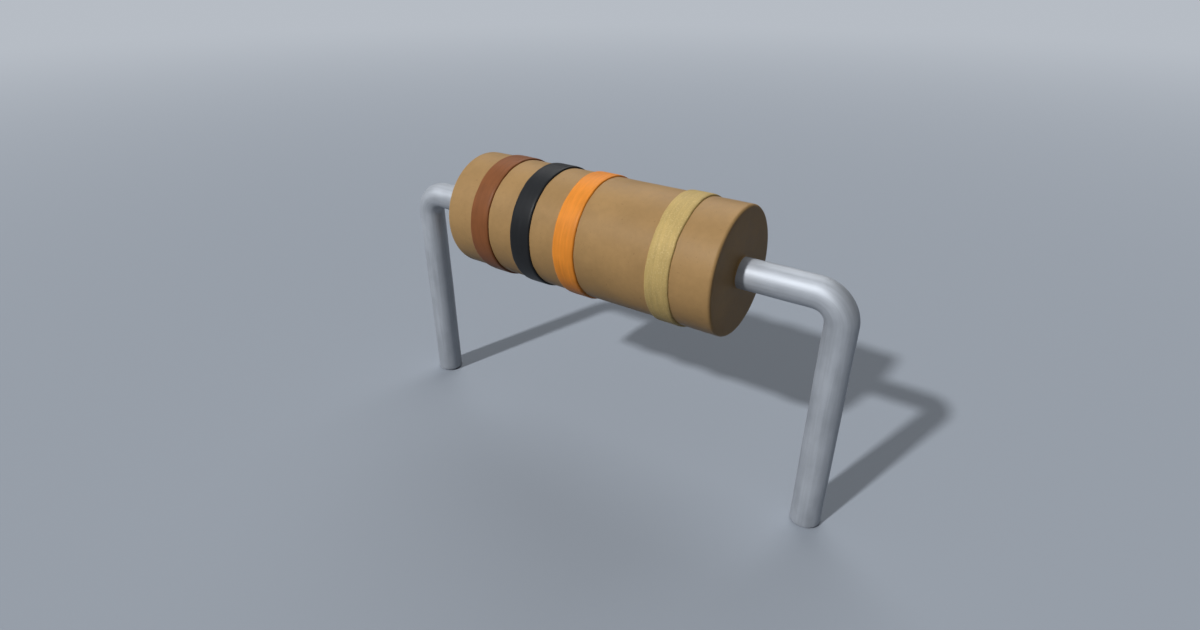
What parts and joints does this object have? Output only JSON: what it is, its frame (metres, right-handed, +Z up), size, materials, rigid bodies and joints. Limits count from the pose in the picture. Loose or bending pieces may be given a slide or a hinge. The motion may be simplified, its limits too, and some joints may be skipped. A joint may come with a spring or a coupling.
{
  "type": "axial resistor",
  "caption": "Axial carbon film resistor: tan cylindrical body with colour bands and a wire lead out of each end, bent down for mounting in a circuit board.",
  "frame": {"origin": "midway between the two lead tips, on the plane that the tips stand on", "axes": "+X along the body from the first colour band towards the last one, +Z up from the lead tips to the body, -Y towards the viewer of the picture"},
  "size_m": [0.0108, 0.0026, 0.0063],
  "materials": {
    "coat": "semi-gloss tan lacquer, faintly mottled",
    "brown_ink": "semi-gloss band paint",
    "black_ink": "semi-gloss band paint",
    "orange_ink": "semi-gloss band paint",
    "gold_ink": "band paint with a fine metallic flake",
    "tinned_wire": "satin tinned copper with faint draw lines",
    "ceramic": null,
    "carbon": "dull grey-black carbon film",
    "cap_steel": "plated drawn steel"
  },
  "bodies": {
    "root": {"body_coat": "coat", "brown_band": "brown_ink", "black_band": "black_ink", "orange_band": "orange_ink", "gold_band": "gold_ink", "lead_left": "tinned_wire", "lead_right": "tinned_wire", "ceramic_rod": "ceramic", "carbon_film": "carbon", "end_cap_left": "cap_steel", "end_cap_right": "cap_steel"}
  },
  "joints": []
}
